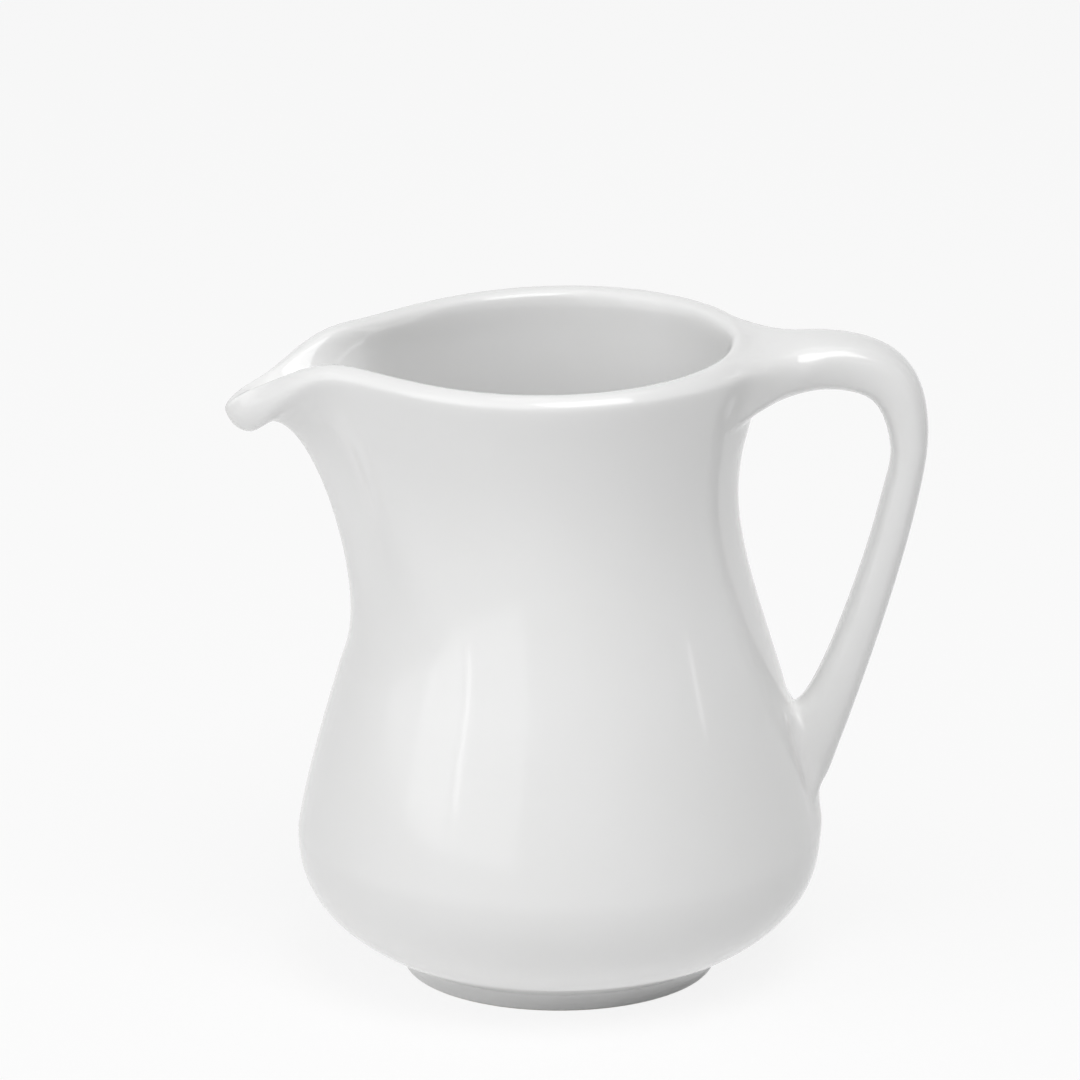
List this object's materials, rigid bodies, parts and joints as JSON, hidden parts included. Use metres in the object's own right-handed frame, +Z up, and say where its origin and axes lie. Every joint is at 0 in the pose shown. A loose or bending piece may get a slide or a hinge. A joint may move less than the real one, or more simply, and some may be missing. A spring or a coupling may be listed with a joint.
{
  "type": "porcelain creamer jug",
  "caption": "Small glazed porcelain creamer: bulbous body on a foot ring, narrow neck, pinched pouring lip and a strap handle opposite it.",
  "frame": {"origin": "centre of the foot ring, in the plane the foot ring stands on", "axes": "+Z up along the axis of the body, +X towards the handle, -X towards the pouring lip"},
  "size_m": [0.092, 0.0688, 0.0867],
  "materials": {
    "porcelain": "smooth glossy white glaze, bare matt porcelain on the foot ring"
  },
  "bodies": {
    "root": {"creamer": "porcelain"}
  },
  "joints": []
}
